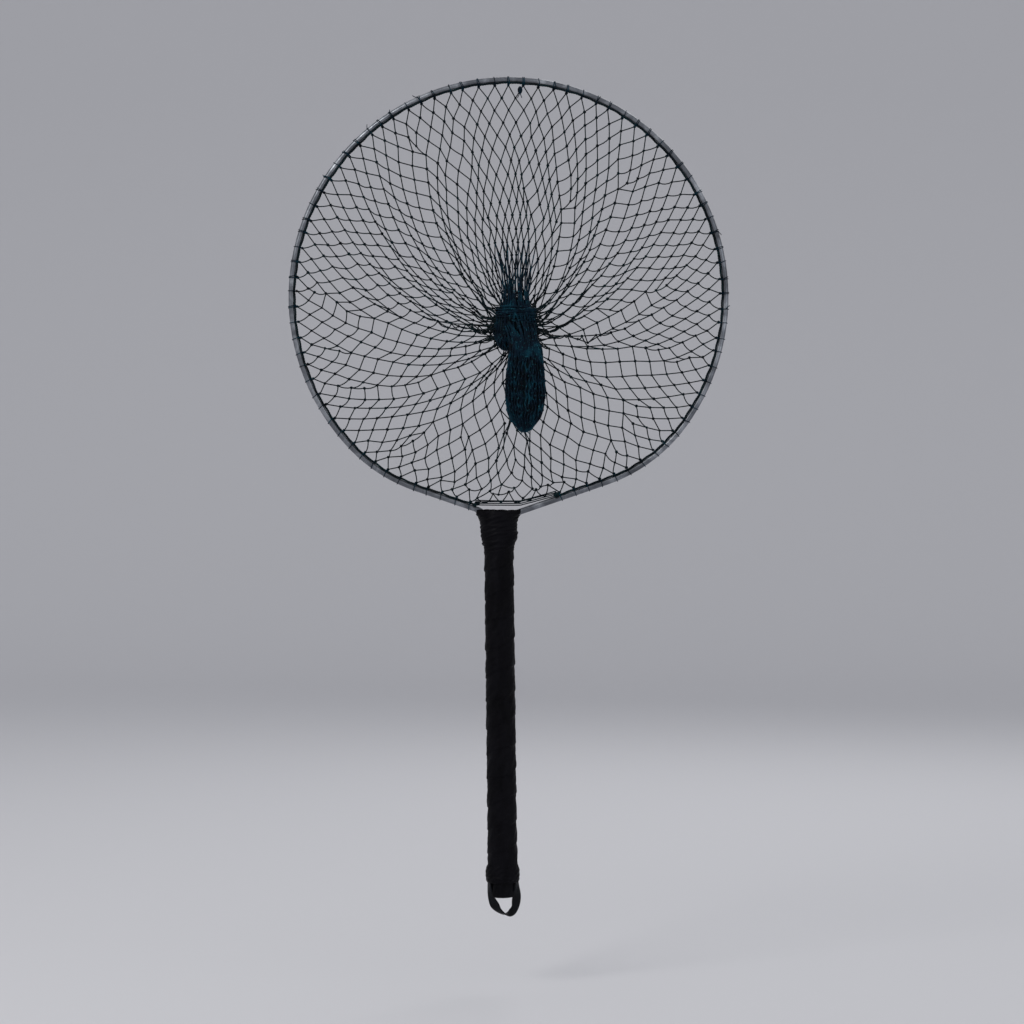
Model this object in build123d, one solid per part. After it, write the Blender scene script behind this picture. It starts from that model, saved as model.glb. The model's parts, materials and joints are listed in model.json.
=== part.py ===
from build123d import *
from math import acos, atan2, cos, degrees, pi, radians, sin, sqrt
import os

# A round hand net with its bag tied off in a knot, hanging from the top of its hoop.
# Millimetres. +Z is up, the hoop lies in the XZ plane, -Y is the side the bag hangs out to.
# The origin is under the hoop's rod at the top, where a peg or nail bears.

CLEAR = 0.05  # between pieces that are bound or wrapped tight on each other

# Hoop rod, bent round and brought down either side of the handle
ROD_R = 3.0
HOOP_R = 217.0  # to the middle of the rod
HOOP_Z = -(HOOP_R - ROD_R)  # height of the hoop's middle
ARM_SLOPE = 19.0  # degrees, of the straight arms that come down to the throat
ARM_REACH = {-1: 210.9, 1: 206.7}  # from the hoop's middle straight out to the left and right arm
ARM_BEND_R = 160.0  # where an arm runs into the round of the hoop
NECK_BEND_R = 9.0  # where the hoop turns down into the splice
TANG_BEND_R = 40.0
TOE_BEND_R = 5.0
TANG_TOP, TANG_FOOT = (14.2, 6.0), (10.1, 32.0)  # across and down the handle, middle of the rod
TANG_END, TOE_END = 66.0, 4.0  # how far down the tang hooks in, and where its end stops

# Handle, measured down from the top of the splice along its own axis
HANDLE_X, HANDLE_Z = -9.6, -432.0
HANDLE_LEAN = 0.6  # degrees, the butt end lies nearer the hoop's middle line
CORE_R = 13.25
CORE_TOP, CORE_SHOULDER, CORE_END = 1.0, 366.0, 379.0
SPIGOT_R = 11.6  # the core's end inside the cap

# Wire binding the tangs to the core
WIRE_R = 0.45
WIRE_TOP, WIRE_PITCH, WIRE_TURNS = 8.0, 1.6, 10
WIRE_POINTS_A_TURN = 12

# Tape over the splice: depth, half width and half thickness of its outside
COLLAR_SECTIONS = (
    (-3.5, 22.5, 15.0),
    (3.0, 20.0, 15.5),
    (10.0, 18.8, 15.6),
    (17.0, 17.8, 15.6),
    (24.0, 16.8, 15.5),
    (31.0, 15.9, 15.2),
    (38.0, 15.1, 14.9),
)
COLLAR_WALL = 1.1
COLLAR_LID = 1.2  # tape folded in over the core's top

# Tape wound down the grip, each turn lapping the one below
GRIP_TOP, GRIP_END = 38.2, 350.0
GRIP_TURNS = 12
GRIP_R, GRIP_LAP = 14.6, 0.5

# Tape band over the strap's ends: depth and radius of its outside
BAND_OUTLINE = ((350.2, 15.6), (355.5, 17.1), (360.5, 17.0), (366.0, 16.2))

# Cap over the end of the core
CAP_R, CAP_TOP, CAP_END, CAP_ROUND = 13.25, 366.1, 382.0, 2.5

# Strap: two ends held under the band and a loop that swings below the cap
STRAP_THICK, STRAP_WIDTH = 1.8, 7.2
LEG_TOP = 353.0
SLOT_TOP, SLOT_END = 352.975, 367.025  # slot through the band for the strap's ends, open at the bottom
STRAP_PIVOT = 383.8
LOOP_THICK = 2.5
LOOP_LEFT, LOOP_RIGHT = -15.2, 17.0  # outer edges of the loop's two sides
LOOP_BAND = 6.6  # width of the band at its sides
LOOP_SAG_X, LOOP_DROP = 4.0, 18.2  # lowest point of the loop's outside
LOOP_EYE_X, LOOP_EYE_DROP = 1.0, 13.6  # lowest point of the eye
LOOP_LEFT_BULGE, LOOP_RIGHT_BULGE = (-10.9, -11.3), (14.6, -12.0)  # outside, halfway down each side
LOOP_GAP = 0.3  # between the held ends and the loop

# Tacks through the strap's ends
TACK_DEPTH, TACK_R, TACK_HEAD_R, TACK_HEAD, TACK_LENGTH = 359.0, 0.8, 2.2, 0.6, 9.0

# Rim line, a cord along the front inner side of the rod, and strands straight across the throat
LINE_R = 1.1
LINE_INSET, LINE_Y = 3.4, -2.9  # from the middle of the rod
THROAT_LEFT, THROAT_RIGHT = -33.7, 47.7
THROAT_STRANDS, THROAT_STRAND_R, THROAT_STRAND_STEP = 2, 0.8, 2.5
THROAT_INSET = 0.04  # part of the span left free at each end

# Twine lashings round the rod and the rim line
LASH_COUNT, LASH_R = 84, 0.7
LASH_START, LASH_END = -75.3, 259.4  # degrees round the hoop from +X, either side of the throat

# Tied-off ends of twine: middle and half sizes
TOP_KNOT = ((11.5, -5.3, -8.0), (2.6, 2.5, 4.6))
THROAT_KNOT_SIZE = (3.0, 2.2, 2.6)
THROAT_KNOT_Y = -6.4

# Netting, drawn from the rim to a ring round the gather knot
GORES = 16
NET_INSET, NET_THICK = 6.2, 3.0  # from the middle of the rod
GATHER = (7.5, -12.0, -245.0)  # middle of the ring where the netting is gathered
GATHER_R = 29.0

# Gather knot in front of that ring, with one turn of twine over it
KNOT = (7.5, -29.0, -245.0)
KNOT_SIZE = (20.5, 13.0, 26.0)
TURN_Z, TURN_HEIGHT, TURN_WALL = -232.0, 8.0, 2.2
TURN_INSIDE = (19.5, 12.5)

# Tail of the bag, hanging from the knot: depth below the pivot, half width, half thickness
TAIL_PIVOT = (16.5, -48.0, -266.0)
TAIL_SECTIONS = (
    (-5.2, 4.5, 1.6),
    (-4.0, 9.5, 3.7),
    (-2.0, 12.8, 5.1),
    (0.0, 14.0, 5.5),
    (8.0, 15.5, 5.5),
    (28.0, 18.0, 9.0),
    (50.0, 18.4, 9.8),
    (68.0, 16.2, 9.0),
    (78.0, 11.0, 6.4),
    (82.3, 5.0, 3.0),
)
NECK_R, NECK_BACK, NECK_FRONT = 4.0, -37.8, -41.2


def on_handle(across, down):
    """The XZ point at this place on the handle."""
    lean = radians(HANDLE_LEAN)
    return (
        HANDLE_X + across * cos(lean) + down * sin(lean),
        HANDLE_Z + across * sin(lean) - down * cos(lean),
    )


HANDLE = Location((HANDLE_X, 0, HANDLE_Z), (0, -HANDLE_LEAN, 0))


def point(xz, y=0.0):
    return Vector(xz[0], y, xz[1])


def arc_about(centre, start, end, radius):
    """The short arc between two points of a circle in the XZ plane."""
    to_start = (point(start) - point(centre)).normalized()
    to_end = (point(end) - point(centre)).normalized()
    half = to_start + to_end
    middle = point(centre) + half.normalized() * radius
    return ThreePointArc(point(start), middle, point(end))


def rounded_line(points, radii):
    """Edges through points of the XZ plane, with each inner corner rounded by its own radius."""
    edges, start = [], point(points[0])
    for before, corner, after, radius in zip(points, points[1:], points[2:], radii):
        here = point(corner)
        back = (point(before) - here).normalized()
        on = (point(after) - here).normalized()
        half_angle = acos(max(-1.0, min(1.0, back.dot(on)))) / 2
        reach = radius / (sin(half_angle) / cos(half_angle))
        centre = here + (back + on).normalized() * (radius / sin(half_angle))
        first, last = here + back * reach, here + on * reach
        middle = centre + (here - centre).normalized() * radius
        edges += [Line(start, first), ThreePointArc(first, middle, last)]
        start = last
    return edges + [Line(start, point(points[-1]))]


def arm(side):
    """One arm of the hoop: its outward direction, its direction up from the throat, its bend's middle."""
    slope = radians(ARM_SLOPE)
    out = Vector(side * sin(slope), 0, -cos(slope))
    up = Vector(side * cos(slope), 0, sin(slope))
    reach = ARM_REACH[side] - ARM_BEND_R
    return out, up, out * reach + up * sqrt((HOOP_R - ARM_BEND_R) ** 2 - reach**2)


def on_arm(x, inset):
    """XZ point at this distance across on a line that runs inside an arm."""
    side = 1 if x > 0 else -1
    out = arm(side)[0]
    return (x, HOOP_Z + (ARM_REACH[side] - inset - out.X * x) / out.Z)


def rim_place(angle, inset):
    """A place this far inside the rod at this angle round the hoop's middle, and the way out from there."""
    ray = Vector(cos(radians(angle)), 0, sin(radians(angle)))
    side = 1 if ray.X > 0 else -1
    out, up, bend = arm(side)
    if atan2(ray.dot(up), ray.dot(out)) >= atan2(bend.dot(up), bend.dot(out)):
        return ray * (HOOP_R - inset), ray
    place = ray * ((ARM_REACH[side] - inset) / ray.dot(out))
    if place.dot(up) <= bend.dot(up):
        return place, out
    along = ray.dot(bend)
    place = ray * (along + sqrt(along**2 - bend.dot(bend) + (ARM_BEND_R - inset) ** 2))
    return place, (place - bend).normalized()


def hoop_edges(right_end, left_end, inset, y):
    """Right arm, bend, round, bend and left arm of a line that runs inside the rod's middle line."""
    middle = Vector(0, y, HOOP_Z)
    joins, arms = [], []
    for side, end in ((1, right_end), (-1, left_end)):
        out, up, bend = arm(side)
        radius = ARM_BEND_R - inset
        low, high = bend + out * radius, bend.normalized() * (HOOP_R - inset)
        half = bend + (out + bend.normalized()).normalized() * radius
        arms += [Line(end, middle + low), ThreePointArc(middle + low, middle + half, middle + high)]
        joins.append(middle + high)
    top = middle + Vector(0, 0, HOOP_R - inset)
    return arms + [ThreePointArc(joins[0], top, joins[1])]


def neck_bend(side):
    """The bend from an arm into its tang: where it leaves the arm, its arc, where it joins the tang."""
    top = on_handle(side * TANG_TOP[0], TANG_TOP[1])
    foot = on_handle(side * TANG_FOOT[0], TANG_FOOT[1])
    up = (point(top) - point(foot)).normalized()
    side_on = Vector(up.Z, 0, -up.X) * side
    start = point(top) + side_on * NECK_BEND_R
    arm_out = arm(side)[0]
    short = ARM_REACH[side] + NECK_BEND_R - (start - Vector(0, 0, HOOP_Z)).dot(arm_out)
    centre = start + up * (short / up.dot(arm_out))
    arm_end = centre - arm_out * NECK_BEND_R
    on_tang = centre - side_on * NECK_BEND_R
    corners = [(place.X, place.Z) for place in (centre, arm_end, on_tang)]
    return arm_end, arc_about(*corners, NECK_BEND_R), on_tang


def rod_path():
    """The middle line of the rod: tang, hoop and tang."""
    arm_ends, edges = [], []
    for side in (1, -1):
        arm_end, bend, on_tang = neck_bend(side)
        tang = [
            (on_tang.X, on_tang.Z),
            on_handle(side * TANG_FOOT[0], TANG_FOOT[1]),
            on_handle(side * TANG_FOOT[0], TANG_END),
            on_handle(side * TOE_END, TANG_END),
        ]
        arm_ends.append(arm_end)
        edges += [bend, *rounded_line(tang, (TANG_BEND_R, TOE_BEND_R))]
    return Wire(edges + hoop_edges(*arm_ends, 0.0, 0.0))


def swept_round(path, radius, frenet=False):
    """A round section swept along a path."""
    return sweep(Plane(origin=path @ 0, z_dir=path % 0) * Circle(radius), path, is_frenet=frenet)


def ellipsoid(middle, size):
    """A ball of radius one stretched to three half sizes."""
    return Pos(*middle) * scale(Sphere(1), by=size)


def ellipse_loft(sections, inset=0.0):
    """A solid through ellipses given by depth, half width and half thickness, depth measured down."""
    return loft([Pos(0, 0, -down) * Ellipse(wide - inset, thick - inset) for down, wide, thick in sections])


def slab(radius, top, end):
    """A round bar of the handle between two depths."""
    return Pos(0, 0, -(top + end) / 2) * Cylinder(radius, end - top)


def hoop_rod():
    return swept_round(rod_path(), ROD_R)


def tang_clearance():
    """The rod with the clearance that its grooves have."""
    return swept_round(rod_path(), ROD_R + CLEAR)


def handle_core(tangs, tacks):
    """Wooden core with a side groove and a hole for each tang, and a spigot for the cap."""
    core = slab(CORE_R, CORE_TOP, CORE_SHOULDER) + slab(SPIGOT_R, CORE_SHOULDER, CORE_END)
    return HANDLE * core - tangs - tacks


def splice_wire():
    """Binding wire, wound as a helix on the oval of the core and the tapering tangs."""
    points = []
    slope = (TANG_FOOT[0] - TANG_TOP[0]) / (TANG_FOOT[1] - TANG_TOP[1])
    for i in range(WIRE_TURNS * WIRE_POINTS_A_TURN + 1):
        turn = 2 * pi * i / WIRE_POINTS_A_TURN
        down = WIRE_TOP + WIRE_PITCH * i / WIRE_POINTS_A_TURN
        wide = TANG_TOP[0] + slope * (down - TANG_TOP[1]) + ROD_R + WIRE_R + 3 * CLEAR
        points.append(Vector(wide * cos(turn), (CORE_R + WIRE_R + 3 * CLEAR) * sin(turn), -down))
    return HANDLE * swept_round(Wire([Spline(*points)]), WIRE_R, frenet=True)


def collar_tape(tangs):
    """Tape over the splice, flared over the rod's bends and folded in over the core's top."""
    skin = ellipse_loft(COLLAR_SECTIONS) - ellipse_loft(COLLAR_SECTIONS, COLLAR_WALL)
    across = max(wide for down, wide, thick in COLLAR_SECTIONS)
    layer = Pos(0, 0, COLLAR_LID / 2 + CLEAR - CORE_TOP) * Box(3 * across, 3 * across, COLLAR_LID)
    lid = ellipse_loft(COLLAR_SECTIONS, COLLAR_WALL / 2) & layer
    return HANDLE * (skin + lid) - tangs


def grip_tape():
    """Tape wound down the core, its laps standing out as shallow steps."""
    pitch = (GRIP_END - GRIP_TOP) / GRIP_TURNS
    outline = [(CORE_R + CLEAR, -GRIP_TOP)]
    for i in range(GRIP_TURNS):
        outline.append((GRIP_R, -(GRIP_TOP + pitch * i)))
        outline.append((GRIP_R + GRIP_LAP, -(GRIP_TOP + pitch * (i + 1) - GRIP_LAP)))
    outline += [(GRIP_R, -GRIP_END), (CORE_R + CLEAR, -GRIP_END)]
    face = make_face(Plane.XZ * Polyline(*outline, close=True))
    return HANDLE * revolve(face, Axis.Z)


def strap_leg(side):
    """One held end of the strap, flat against the side of the core."""
    end = STRAP_PIVOT - LOOP_THICK / 2 - LOOP_GAP
    across = CORE_R + 2 * CLEAR + STRAP_THICK / 2
    bar = Box(STRAP_THICK, STRAP_WIDTH, end - LEG_TOP)
    return Pos(side * across, 0, -(LEG_TOP + end) / 2) * bar


def tack(side, clear=0.0):
    """One tack, driven in across the handle through the strap's end."""
    face = CORE_R + 3 * CLEAR + STRAP_THICK
    shank = Cylinder(TACK_R + clear, TACK_LENGTH + 2 * clear)
    head = Cylinder(TACK_HEAD_R + clear, TACK_HEAD + clear)
    both = Pos(0, 0, face - TACK_LENGTH / 2) * shank + Pos(0, 0, face + TACK_HEAD / 2) * head
    return Pos(0, 0, -TACK_DEPTH) * Rot(0, side * 90, 0) * both


def strap_legs():
    return HANDLE * Compound(children=[strap_leg(side) - tack(side, CLEAR) for side in (-1, 1)])


def strap_tacks():
    return HANDLE * Compound(children=[tack(side) for side in (-1, 1)])


def butt_band():
    """Band of tape that holds the strap's ends down."""
    outline = [(radius, -down) for down, radius in BAND_OUTLINE]
    outline += [(CORE_R + CLEAR, outline[-1][1]), (CORE_R + CLEAR, outline[0][1])]
    band = revolve(make_face(Plane.XZ * Polyline(*outline, close=True)), Axis.Z)
    slot_out = CORE_R + 3 * CLEAR + STRAP_THICK
    slot = Box(2 * slot_out, STRAP_WIDTH + 2 * CLEAR, SLOT_END - SLOT_TOP)
    heads = Rot(0, 90, 0) * Cylinder(TACK_HEAD_R + CLEAR, 2 * (slot_out + TACK_HEAD))
    band = band - Pos(0, 0, -(SLOT_TOP + SLOT_END) / 2) * slot - Pos(0, 0, -TACK_DEPTH) * heads
    return HANDLE * band


def butt_cap():
    """Cup over the end of the core, with a rounded bottom edge."""
    cup = fillet(slab(CAP_R, CAP_TOP, CAP_END).edges().group_by(Axis.Z)[0], CAP_ROUND)
    return HANDLE * (cup - slab(SPIGOT_R + CLEAR, CORE_SHOULDER - CLEAR, CORE_END + CLEAR))


def strap_loop():
    """Loop of the strap, turned face on, with rounded ends at the pivot line so that it can swing."""
    eye_left, eye_right = LOOP_LEFT + LOOP_BAND, LOOP_RIGHT - LOOP_BAND
    outside = Spline(
        (LOOP_LEFT, 0),
        LOOP_LEFT_BULGE,
        (LOOP_SAG_X, -LOOP_DROP),
        LOOP_RIGHT_BULGE,
        (LOOP_RIGHT, 0),
    )
    eye = Polyline((eye_left, 0), (LOOP_EYE_X, -LOOP_EYE_DROP), (eye_right, 0), close=True)
    face = make_face(outside + Line((LOOP_RIGHT, 0), (LOOP_LEFT, 0))) - make_face(eye)
    loop = extrude(Plane.XZ * face, LOOP_THICK / 2, both=True)
    for left, right in ((LOOP_LEFT, eye_left), (eye_right, LOOP_RIGHT)):
        end = Rot(0, 90, 0) * Cylinder(LOOP_THICK / 2, right - left)
        loop = loop + Pos((left + right) / 2, 0, 0) * end
    return HANDLE * Pos(0, 0, -STRAP_PIVOT) * loop


def line_end(x):
    """An end of the rim line, at this distance across."""
    return point(on_arm(x, LINE_INSET), LINE_Y)


def rim_line():
    """Cord round the hoop from one side of the throat over the top to the other."""
    edges = hoop_edges(line_end(THROAT_RIGHT), line_end(THROAT_LEFT), LINE_INSET, LINE_Y)
    return swept_round(Wire(edges), LINE_R)


def throat_strands():
    """Strands drawn straight across the throat between the ends of the rim line."""
    left = line_end(THROAT_LEFT)
    span = line_end(THROAT_RIGHT) - left
    strands = []
    for i in range(THROAT_STRANDS):
        rise = Vector(0, 0, THROAT_STRAND_STEP * i)
        line = Line(left + rise + span * THROAT_INSET, left + rise + span * (1 - THROAT_INSET))
        strands.append(swept_round(Wire([line]), THROAT_STRAND_R))
    return Compound(children=strands)


def lashing():
    """One turn of twine, drawn tight round the rod at the origin and the rim line, with +X the way out."""
    rod, line = Vector(0, 0, 0), Vector(-LINE_INSET, LINE_Y, 0)
    rod_turn, line_turn = ROD_R + LASH_R + CLEAR, LINE_R + LASH_R + CLEAR
    gap = line - rod
    facing = atan2(gap.Y, gap.X)
    lean = acos((rod_turn - line_turn) / gap.length)

    def at(middle, radius, angle):
        return middle + Vector(radius * cos(angle), radius * sin(angle), 0)

    rod_ends = [at(rod, rod_turn, facing + lean), at(rod, rod_turn, facing - lean)]
    line_ends = [at(line, line_turn, facing + lean), at(line, line_turn, facing - lean)]
    path = Wire(
        [
            ThreePointArc(rod_ends[0], at(rod, rod_turn, facing + pi), rod_ends[1]),
            Line(rod_ends[1], line_ends[1]),
            ThreePointArc(line_ends[1], at(line, line_turn, facing), line_ends[0]),
            Line(line_ends[0], rod_ends[0]),
        ]
    )
    return swept_round(path, LASH_R)


def rim_lashings():
    """Lashings at even steps from one side of the throat right round to the other."""
    one = lashing()
    turns = []
    for i in range(LASH_COUNT):
        place, out = rim_place(LASH_START + (LASH_END - LASH_START) * i / (LASH_COUNT - 1), 0.0)
        turns.append(Pos(place.X, 0, HOOP_Z + place.Z) * Rot(0, -degrees(atan2(out.Z, out.X)), 0) * one)
    return Compound(children=turns)


def throat_knots():
    """Tied-off ends of twine at both sides of the throat."""
    knots = [
        ellipsoid(point(on_arm(x, LINE_INSET), THROAT_KNOT_Y), THROAT_KNOT_SIZE)
        for x in (THROAT_LEFT, THROAT_RIGHT)
    ]
    return Compound(children=knots)


def net_plate(corners):
    """A flat plate of netting, its thickness run towards -Y."""
    face = make_face(Polyline(*corners, close=True))
    return Solid.extrude(face.face(), Vector(0, -NET_THICK, 0))


def gore_rim(inner, *rim):
    """A gore's two corners at the rim, brought forward so that the gore is flat and its edge level."""
    side = (inner[0] - inner[1]).normalized()
    out = Vector(side.Z, 0, -side.X)
    reach = [(corner - inner[0]).dot(out) for corner in rim]
    slope = 2 * (NET_THICK / 2 - inner[0].Y) / sum(reach)
    return [corner + Vector(0, slope * far, 0) for corner, far in zip(rim, reach)]


def net_webbing():
    """Netting as flat gores between the rim and the gathered middle, and a plate for that middle."""
    rim, ring = [], []
    for i in range(GORES):
        turn = 360 * (i + 0.5) / GORES
        place = rim_place(turn, NET_INSET)[0]
        rim.append((place.X, HOOP_Z + place.Z))
        across, up = GATHER_R * cos(radians(turn)), GATHER_R * sin(radians(turn))
        ring.append((GATHER[0] + across, GATHER[2] + up))
    low = GATHER[1] + NET_THICK / 2
    gores = []
    for i in range(GORES):
        j = (i + 1) % GORES
        inner = [point(ring[j], low), point(ring[i], low)]
        gores.append(net_plate(gore_rim(inner, point(rim[i], low), point(rim[j], low)) + inner))
    gores.append(net_plate([point(p, low) for p in ring]))
    return Compound(children=gores)


def knot_turn():
    """The turn of twine round the knot, as an oval band."""
    inside = Ellipse(*TURN_INSIDE)
    outside = Ellipse(TURN_INSIDE[0] + TURN_WALL, TURN_INSIDE[1] + TURN_WALL)
    return Pos(KNOT[0], KNOT[1], TURN_Z) * extrude(outside - inside, TURN_HEIGHT / 2, both=True)


def tail_neck():
    """Short roll of netting where the tail comes out of the knot."""
    length = NECK_BACK - NECK_FRONT
    return Pos(TAIL_PIVOT[0], (NECK_BACK + NECK_FRONT) / 2, TAIL_PIVOT[2]) * (
        Rot(90, 0, 0) * Cylinder(NECK_R, length)
    )


def bag_tail():
    """Tail of the bag, rounded about its pivot line at the top."""
    return Pos(*TAIL_PIVOT) * ellipse_loft(TAIL_SECTIONS)


def main():
    tangs = tang_clearance()
    tacks = HANDLE * Compound(children=[tack(side, CLEAR) for side in (-1, 1)])
    nodes = {
        "hoop_rod": hoop_rod(),
        "handle_core": handle_core(tangs, tacks),
        "splice_wire": splice_wire(),
        "collar_tape": collar_tape(tangs),
        "grip_tape": grip_tape(),
        "butt_band": butt_band(),
        "butt_cap": butt_cap(),
        "strap_legs": strap_legs(),
        "strap_tacks": strap_tacks(),
        "strap_loop": strap_loop(),
        "rim_line": rim_line(),
        "throat_strands": throat_strands(),
        "rim_lashings": rim_lashings(),
        "top_knot": ellipsoid(*TOP_KNOT),
        "throat_knots": throat_knots(),
        "net_webbing": net_webbing(),
        "gather_knot": ellipsoid(KNOT, KNOT_SIZE),
        "knot_turn": knot_turn(),
        "tail_neck": tail_neck(),
        "bag_tail": bag_tail(),
    }
    os.makedirs("parts", exist_ok=True)
    for name, solid in nodes.items():
        export_step(solid, f"parts/{name}.step")


main()
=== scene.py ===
import json
import math

import bpy
import numpy as np
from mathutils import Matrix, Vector


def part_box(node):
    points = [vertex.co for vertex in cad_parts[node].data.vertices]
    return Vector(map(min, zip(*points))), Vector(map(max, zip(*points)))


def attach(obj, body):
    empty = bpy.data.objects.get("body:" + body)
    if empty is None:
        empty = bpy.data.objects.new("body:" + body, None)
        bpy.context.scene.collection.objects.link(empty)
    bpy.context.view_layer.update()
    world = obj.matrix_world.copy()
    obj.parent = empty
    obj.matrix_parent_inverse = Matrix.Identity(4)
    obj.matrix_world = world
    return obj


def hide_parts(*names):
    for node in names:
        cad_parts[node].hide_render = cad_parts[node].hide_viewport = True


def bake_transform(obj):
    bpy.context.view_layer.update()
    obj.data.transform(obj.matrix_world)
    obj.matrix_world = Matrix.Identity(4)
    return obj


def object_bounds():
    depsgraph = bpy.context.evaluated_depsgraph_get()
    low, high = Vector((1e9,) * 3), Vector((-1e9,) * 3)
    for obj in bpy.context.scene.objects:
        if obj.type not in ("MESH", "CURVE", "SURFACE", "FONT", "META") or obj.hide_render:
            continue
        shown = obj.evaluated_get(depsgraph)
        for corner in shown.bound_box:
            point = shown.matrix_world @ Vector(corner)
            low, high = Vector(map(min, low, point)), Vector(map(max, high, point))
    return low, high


MM = 0.001
TAU = 2 * math.pi
RNG = np.random.default_rng(7)

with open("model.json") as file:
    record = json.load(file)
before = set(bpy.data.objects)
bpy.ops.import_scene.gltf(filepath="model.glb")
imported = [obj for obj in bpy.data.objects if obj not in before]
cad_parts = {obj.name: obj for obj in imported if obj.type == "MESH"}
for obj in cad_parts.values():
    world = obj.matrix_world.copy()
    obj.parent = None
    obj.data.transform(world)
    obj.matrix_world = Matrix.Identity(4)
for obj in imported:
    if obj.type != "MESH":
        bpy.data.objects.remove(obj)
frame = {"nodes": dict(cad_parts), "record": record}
CAD_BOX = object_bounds()

# Hoop and rim line, read from the CAD boxes
ROD_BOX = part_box("hoop_rod")
HOOP_R_OUT = (ROD_BOX[1][0] - ROD_BOX[0][0]) / 2
ROD_R = 3.0 * MM
HOOP_R = HOOP_R_OUT - ROD_R
HOOP_MIDDLE = np.array([(ROD_BOX[0][0] + ROD_BOX[1][0]) / 2, 0.0, ROD_BOX[1][2] - HOOP_R_OUT])
LINE_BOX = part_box("rim_line")
LINE_Y = (LINE_BOX[0][1] + LINE_BOX[1][1]) / 2
LINE_R = (LINE_BOX[1][1] - LINE_BOX[0][1]) / 2
LINE_HOOP_R = LINE_BOX[1][2] - LINE_R - HOOP_MIDDLE[2]

# The hoop's two straight arms down to the throat: slope, distance from the hoop's middle, bend above
ARM_SLOPE = math.radians(19.0)
ARM_REACH = {-1: 210.9 * MM, 1: 206.7 * MM}
ARM_BEND_R = 160.0 * MM

# Netting
LASHINGS = 84
LASH_START, LASH_END = -75.3, 259.4  # degrees round the hoop from +X, either side of the throat
THROAT_NODES = 5  # rim meshes hung on the strands across the throat
THROAT_END = 3.6  # degrees from the last lashing to the first of those meshes
THROAT_LOW, THROAT_DIP = 0.44, 5.0 * MM  # where those strands hang lowest, as a share from the right
ROWS = 19
BAR = 13.5 * MM
BAR_SLACK = 1.05
LEAST_STEP = 0.66 * BAR  # the least that one row brings the netting inwards
DECREASES = {3: 3, 4: 4, 5: 4, 6: 4, 7: 4, 9: 4, 11: 4}  # row: pairs of meshes netted together
NO_DECREASES = (62, 116)  # degrees round the hoop, the stretch straight above the knot
LOWER_HALF, LOWER_SHARE = (185, 355), 0.72  # most decreases are made low down, where it hangs slacker
PLEAT_ANGLES = (205, 250, 271, 292, 335)
PLEAT_TURN = (0, 17, 0, -17, 0)  # degrees by which the netting leans to the pleat under the tail
PLEAT_HALF, PLEAT_TOP = 12 * MM, 95 * MM  # the pleat's half width, and its top below the knot's middle
TWINE_R = 0.6 * MM
RING_SIZE = (13.0 * MM, 17.0 * MM)

KNOT_MIDDLE = np.mean(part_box("gather_knot"), axis=0)


def unit(v):
    """Vectors along the last axis, made one long."""
    return v / np.maximum(np.linalg.norm(v, axis=-1, keepdims=True), 1e-12)


def xyz(x, y, z):
    """Points from their three coordinates, each an array or one number."""
    return np.stack(np.broadcast_arrays(x, y, z), -1)


def full_turn(count):
    """Angles at even steps all the way round."""
    return TAU * np.arange(count) / count


def arch(start, over, end, t):
    """A path from start to end that is pulled over towards a third point."""
    return start * (1 - t) ** 2 + 2 * over * t * (1 - t) + end * t**2


# ---- meshes


def mesh_object(name, verts, quads, material, uvs=None):
    """A smooth mesh object of four-sided faces."""
    mesh = bpy.data.meshes.new(name)
    mesh.vertices.add(len(verts))
    mesh.vertices.foreach_set("co", np.ascontiguousarray(verts, np.float32).ravel())
    mesh.loops.add(quads.size)
    mesh.loops.foreach_set("vertex_index", np.ascontiguousarray(quads, np.int32).ravel())
    mesh.polygons.add(len(quads))
    mesh.polygons.foreach_set("loop_start", np.arange(0, quads.size, 4, dtype=np.int32))
    mesh.update(calc_edges=True)
    if uvs is not None:
        layer = mesh.uv_layers.new(name="Length")
        layer.data.foreach_set("uv", np.ascontiguousarray(uvs[quads.ravel()], np.float32).ravel())
    mesh.polygons.foreach_set("use_smooth", np.ones(len(quads), bool))
    mesh.materials.append(material)
    obj = bpy.data.objects.new(name, mesh)
    bpy.context.scene.collection.objects.link(obj)
    return obj


class Soup:
    """Vertices, faces and lengthwise coordinates of many small shapes, joined into one mesh."""

    def __init__(self):
        self.verts, self.quads, self.uvs, self.count = [], [], [], 0

    def add(self, verts, quads, uvs):
        self.verts.append(verts.reshape(-1, 3))
        self.quads.append(quads.reshape(-1, 4) + self.count)
        self.uvs.append(uvs.reshape(-1, 2))
        self.count += len(self.verts[-1])

    def object(self, name, material):
        return mesh_object(
            name,
            np.concatenate(self.verts),
            np.concatenate(self.quads),
            material,
            np.concatenate(self.uvs),
        )


def grid_quads(rows, columns, wrap_rows=False):
    """Faces of a grid whose columns close on themselves."""
    last = rows if wrap_rows else rows - 1
    i, j = np.meshgrid(np.arange(last), np.arange(columns), indexing="ij")
    up, side = (i + 1) % rows, (j + 1) % columns
    return np.stack([i * columns + j, i * columns + side, up * columns + side, up * columns + j], -1)


def sheet(name, verts, material, length, around):
    """A sheet from a grid of points whose columns close, with its length and turn as texture places."""
    uvs = np.stack(np.broadcast_arrays(length, around), -1).reshape(-1, 2)
    quads = grid_quads(*verts.shape[:2]).reshape(-1, 4)
    return mesh_object(name, verts.reshape(-1, 3), quads, material, uvs)


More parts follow.
